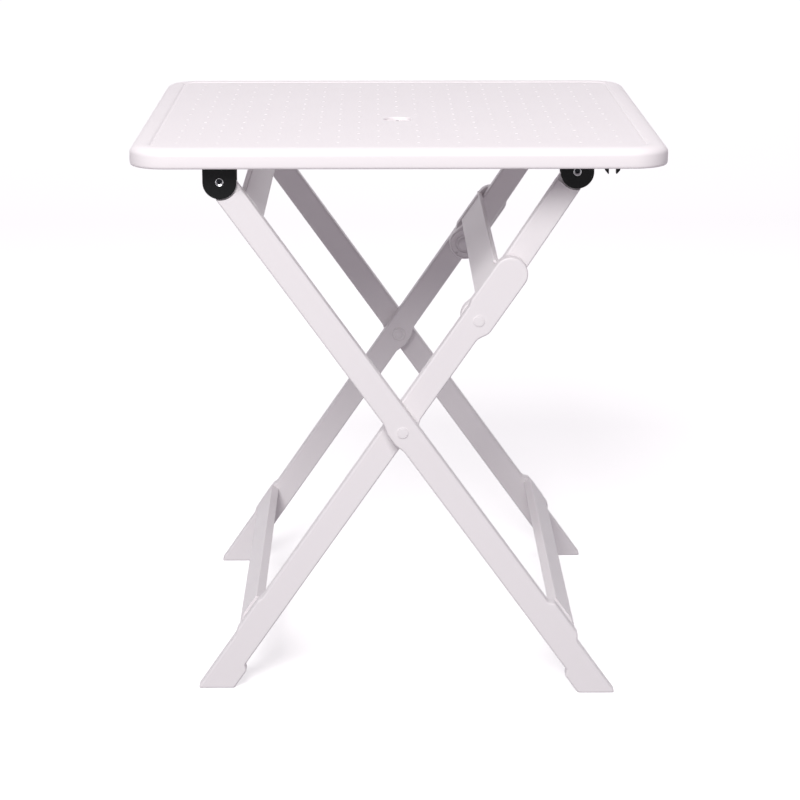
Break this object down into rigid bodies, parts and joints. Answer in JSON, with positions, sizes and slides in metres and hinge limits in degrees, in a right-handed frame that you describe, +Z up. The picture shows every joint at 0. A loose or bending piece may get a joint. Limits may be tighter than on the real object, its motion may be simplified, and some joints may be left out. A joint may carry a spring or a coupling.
{
  "type": "folding table",
  "caption": "Square folding resin table: moulded top with a parasol hole on two crossing leg frames with folding stay arms.",
  "frame": {"origin": "on the floor under the middle of the open table's bounding box", "axes": "+X to the side where the stay arms hang, across the crossing of the legs; +Y from the front, nearer the parasol hole, to the back; +Z up"},
  "size_m": [0.651, 0.651, 0.705],
  "materials": {
    "top_resin": "moulded white resin, satin, fine grain",
    "leg_resin": "moulded white resin, satin",
    "black_plastic": "black moulded plastic, satin",
    "steel": "zinc-plated steel"
  },
  "bodies": {
    "top": {"tabletop": "top_resin", "bracket_screws": "steel", "hinge_bracket_left_front": "black_plastic", "hinge_bracket_left_back": "black_plastic", "hinge_bracket_right_front": "black_plastic", "hinge_bracket_right_back": "black_plastic", "hinge_pin_left_front": "steel", "hinge_pin_left_back": "steel", "hinge_pin_right_front": "steel", "hinge_pin_right_back": "steel", "snap_clip_front": "black_plastic", "snap_clip_back": "black_plastic"},
    "leg_frame_a": {"leg_a_front": "leg_resin", "leg_a_back": "leg_resin", "crossing_pin_front": "leg_resin", "crossing_pin_back": "leg_resin", "crossing_washer_front": "black_plastic", "crossing_washer_back": "black_plastic", "frame_a_upper_rung": "leg_resin", "frame_a_lower_rung": "leg_resin"},
    "leg_frame_b": {"leg_b_front": "leg_resin", "leg_b_back": "leg_resin", "crossing_bush_front": "leg_resin", "crossing_bush_back": "leg_resin", "knee_pin_front": "leg_resin", "knee_pin_back": "leg_resin", "knee_washer_front": "black_plastic", "knee_washer_back": "black_plastic", "catch_stud_front": "leg_resin", "catch_stud_back": "leg_resin", "frame_b_lower_rung": "leg_resin", "knee_rung": "leg_resin"},
    "stay_arm_front": {"stay_arm_front": "leg_resin"},
    "stay_arm_back": {"stay_arm_back": "leg_resin"}
  },
  "joints": [
    {"name": "leg_frame_a_fold", "type": "hinge", "parent": "top", "child": "leg_frame_a", "pos_m": [-0.2171, 0, 0.659], "axis": [0, -1, 0], "range_deg": [0, 54.6]},
    {"name": "stay_arm_front_fold", "type": "hinge", "parent": "top", "child": "stay_arm_front", "pos_m": [0.2191, -0.2385, 0.664], "axis": [0, 1, 0], "range_deg": [0, 55.52]},
    {"name": "stay_arm_back_fold", "type": "hinge", "parent": "top", "child": "stay_arm_back", "pos_m": [0.2191, 0.2385, 0.664], "axis": [0, 1, 0], "range_deg": [0, 55.52]},
    {"name": "knee_fold", "type": "hinge", "parent": "stay_arm_front", "child": "leg_frame_b", "pos_m": [0.09901, -0.2385, 0.48176], "axis": [0, -1, 0], "range_deg": [0, 179.29]}
  ],
  "couplings": [
    {"joint": "stay_arm_front_fold", "follows": "leg_frame_a_fold", "ratio": 1.0169},
    {"joint": "stay_arm_back_fold", "follows": "leg_frame_a_fold", "ratio": 1.0169},
    {"joint": "knee_fold", "follows": "leg_frame_a_fold", "ratio": 3.2837}
  ]
}
